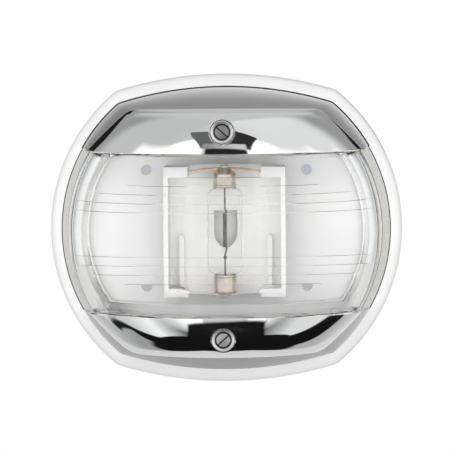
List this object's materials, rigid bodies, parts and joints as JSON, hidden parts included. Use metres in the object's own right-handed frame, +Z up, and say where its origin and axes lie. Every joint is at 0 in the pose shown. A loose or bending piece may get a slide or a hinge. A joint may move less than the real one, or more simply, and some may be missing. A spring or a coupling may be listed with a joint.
{
  "type": "navigation light",
  "caption": "Bulkhead navigation light: white plastic base, clear D-plan lens with prism lines, polished steel hoods, slotted screws, upright festoon lamp in a white holder.",
  "frame": {"origin": "middle of the flat rear face, where the light lies on the bulkhead", "axes": "+Y out of the rear face into the bulkhead, +Z up, +X to the right of someone who looks at the light"},
  "size_m": [0.08, 0.043, 0.07],
  "materials": {
    "white_plastic": "satin moulded",
    "rubber": "matt",
    "silicone": "matt, cream",
    "brass": "machined",
    "clear_plastic": "clear, polished",
    "polished_steel": "mirror polished stainless",
    "screw_steel": "turned stainless",
    "copper": "bright copper alloy strip",
    "nickel": "nickel-plated brass",
    "lamp_glass": "clear",
    "tungsten": "dark wire"
  },
  "bodies": {
    "base": {"base_body": "white_plastic", "rear_seal": "rubber", "cable_grommet": "rubber", "lens_gasket": "silicone", "lamp_holder": "white_plastic", "upper_boss_insert": "brass", "lower_boss_insert": "brass", "upper_holder_screw": "screw_steel", "lower_holder_screw": "screw_steel"},
    "lens": {"lens": "clear_plastic"},
    "upper_hood": {"upper_hood": "polished_steel"},
    "lower_hood": {"lower_hood": "polished_steel"},
    "upper_washer": {"upper_screw_washer": "screw_steel"},
    "lower_washer": {"lower_screw_washer": "screw_steel"},
    "upper_screw": {"upper_cover_screw": "screw_steel"},
    "lower_screw": {"lower_cover_screw": "screw_steel"},
    "lamp": {"lamp_glass": "lamp_glass", "lamp_upper_cap": "nickel", "lamp_lower_cap": "nickel", "lamp_filament": "tungsten"},
    "upper_contact": {"upper_contact": "copper"},
    "lower_contact": {"lower_contact": "copper"}
  },
  "joints": [
    {"name": "lens_off", "type": "slide", "parent": "base", "child": "lens", "axis": [0, -1, 0], "range_m": [0, 0.04]},
    {"name": "upper_hood_off", "type": "slide", "parent": "lens", "child": "upper_hood", "axis": [0, -1, 0], "range_m": [0, 0.03]},
    {"name": "upper_screw_out", "type": "slide", "parent": "upper_hood", "child": "upper_washer", "axis": [0, -1, 0], "range_m": [0, 0.0045]},
    {"name": "upper_screw_turn", "type": "hinge", "parent": "upper_washer", "child": "upper_screw", "pos_m": [0, -0.04075, 0.0234], "axis": [0, -1, 0], "range_deg": [0, 3600]},
    {"name": "upper_contact_flex", "type": "slide", "parent": "base", "child": "upper_contact", "axis": [0, 0, 1], "range_m": [0, 0.0006], "stiffness_N_per_m": 2000},
    {"name": "lower_hood_off", "type": "slide", "parent": "lens", "child": "lower_hood", "axis": [0, -1, 0], "range_m": [0, 0.03]},
    {"name": "lower_screw_out", "type": "slide", "parent": "lower_hood", "child": "lower_washer", "axis": [0, -1, 0], "range_m": [0, 0.0045]},
    {"name": "lower_screw_turn", "type": "hinge", "parent": "lower_washer", "child": "lower_screw", "pos_m": [0, -0.04075, -0.0234], "axis": [0, -1, 0], "range_deg": [0, 3600]},
    {"name": "lower_contact_flex", "type": "slide", "parent": "base", "child": "lower_contact", "axis": [0, 0, -1], "range_m": [0, 0.0006], "stiffness_N_per_m": 2000},
    {"name": "lamp_out", "type": "slide", "parent": "base", "child": "lamp", "axis": [0, -1, 0], "range_m": [0, 0.013]}
  ],
  "couplings": [
    {"joint": "upper_screw_turn", "follows": "upper_screw_out", "rad_per_m": 13963},
    {"joint": "lower_screw_turn", "follows": "lower_screw_out", "rad_per_m": 13963}
  ]
}
